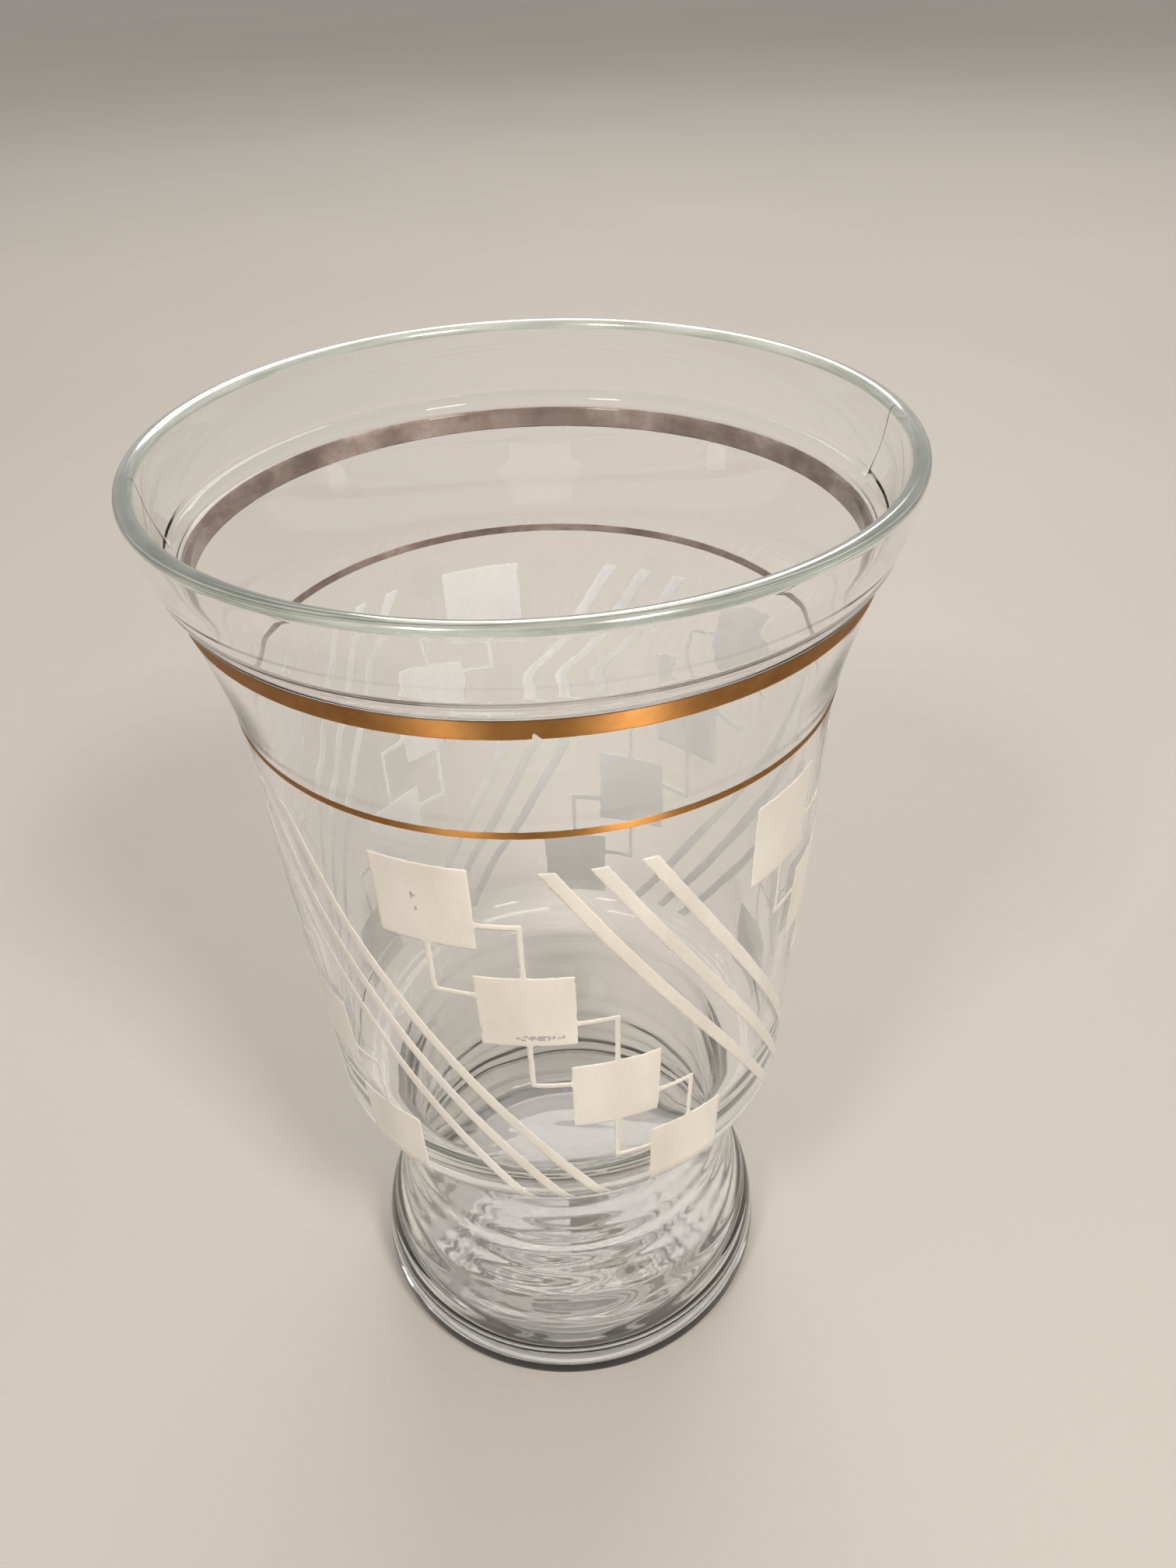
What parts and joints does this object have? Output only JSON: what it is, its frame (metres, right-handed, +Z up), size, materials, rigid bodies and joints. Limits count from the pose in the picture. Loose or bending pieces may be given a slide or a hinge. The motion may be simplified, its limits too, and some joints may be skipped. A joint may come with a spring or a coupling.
{
  "type": "pint glass",
  "caption": "Flared, footed drinking glass, hollow down into its foot, with gilt rings and a fired enamel pattern of stepped squares and slanting bars.",
  "frame": {"origin": "centre of the ring that the foot rests on", "axes": "+Z up along the axis of the glass; -Y is the front, as the pattern is counted"},
  "size_m": [0.108, 0.108, 0.171],
  "materials": {
    "clear_glass": "clear soda-lime glass with a faint grey-green edge tint, fire-polished",
    "gilt": "thin fired bright gold, satin, slightly worn",
    "white_enamel": "off-white fired enamel print, satin"
  },
  "bodies": {
    "root": {"glass_body": "clear_glass", "gilt_band_wide": "gilt", "gilt_band_narrow": "gilt", "staircase_1": "white_enamel", "staircase_2": "white_enamel", "staircase_3": "white_enamel", "staircase_4": "white_enamel", "staircase_5": "white_enamel", "bar_1_1": "white_enamel", "bar_1_2": "white_enamel", "bar_1_3": "white_enamel", "bar_2_1": "white_enamel", "bar_2_2": "white_enamel", "bar_2_3": "white_enamel", "bar_3_1": "white_enamel", "bar_3_2": "white_enamel", "bar_3_3": "white_enamel", "bar_4_1": "white_enamel", "bar_4_2": "white_enamel", "bar_4_3": "white_enamel", "bar_5_1": "white_enamel", "bar_5_2": "white_enamel", "bar_5_3": "white_enamel"}
  },
  "joints": []
}
